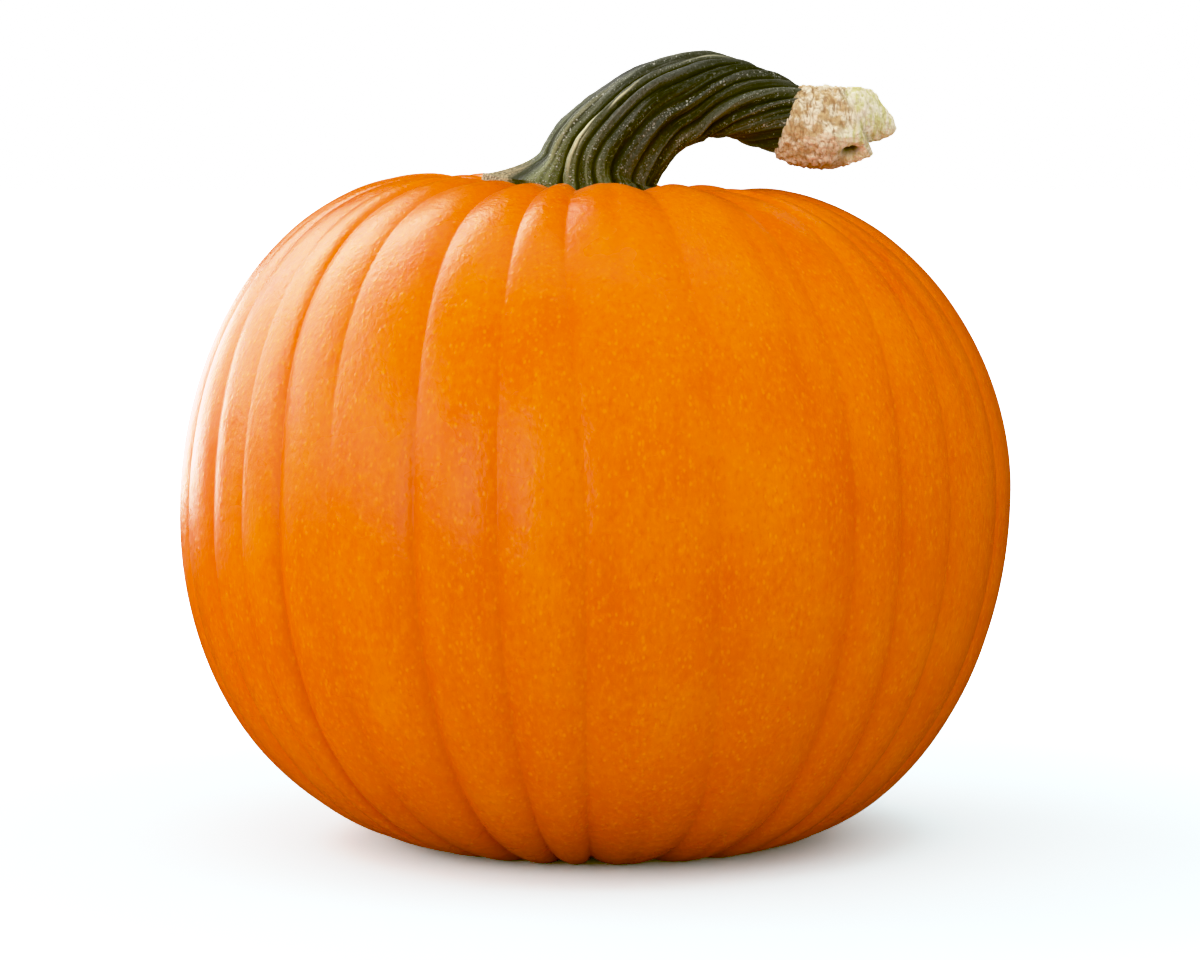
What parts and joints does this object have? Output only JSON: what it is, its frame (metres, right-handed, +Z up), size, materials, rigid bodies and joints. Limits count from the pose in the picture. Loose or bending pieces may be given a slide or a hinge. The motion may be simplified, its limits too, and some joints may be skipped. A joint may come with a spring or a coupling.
{
  "type": "pumpkin",
  "caption": "Ripe round carving pumpkin with shallow ribs, resting on its base, with a bent, ridged dry stem broken off at the tip.",
  "frame": {"origin": "on the floor under the middle of the bounding box", "axes": "+Z up from the base to the stem, +X towards the torn end of the stem, the front is -Y"},
  "size_m": [0.3026, 0.2956, 0.2866],
  "materials": {
    "rind": "waxy orange skin, satin gloss",
    "stem": "rough dark green, pale torn end"
  },
  "bodies": {
    "root": {"fruit": "rind", "stem": "stem"}
  },
  "joints": []
}
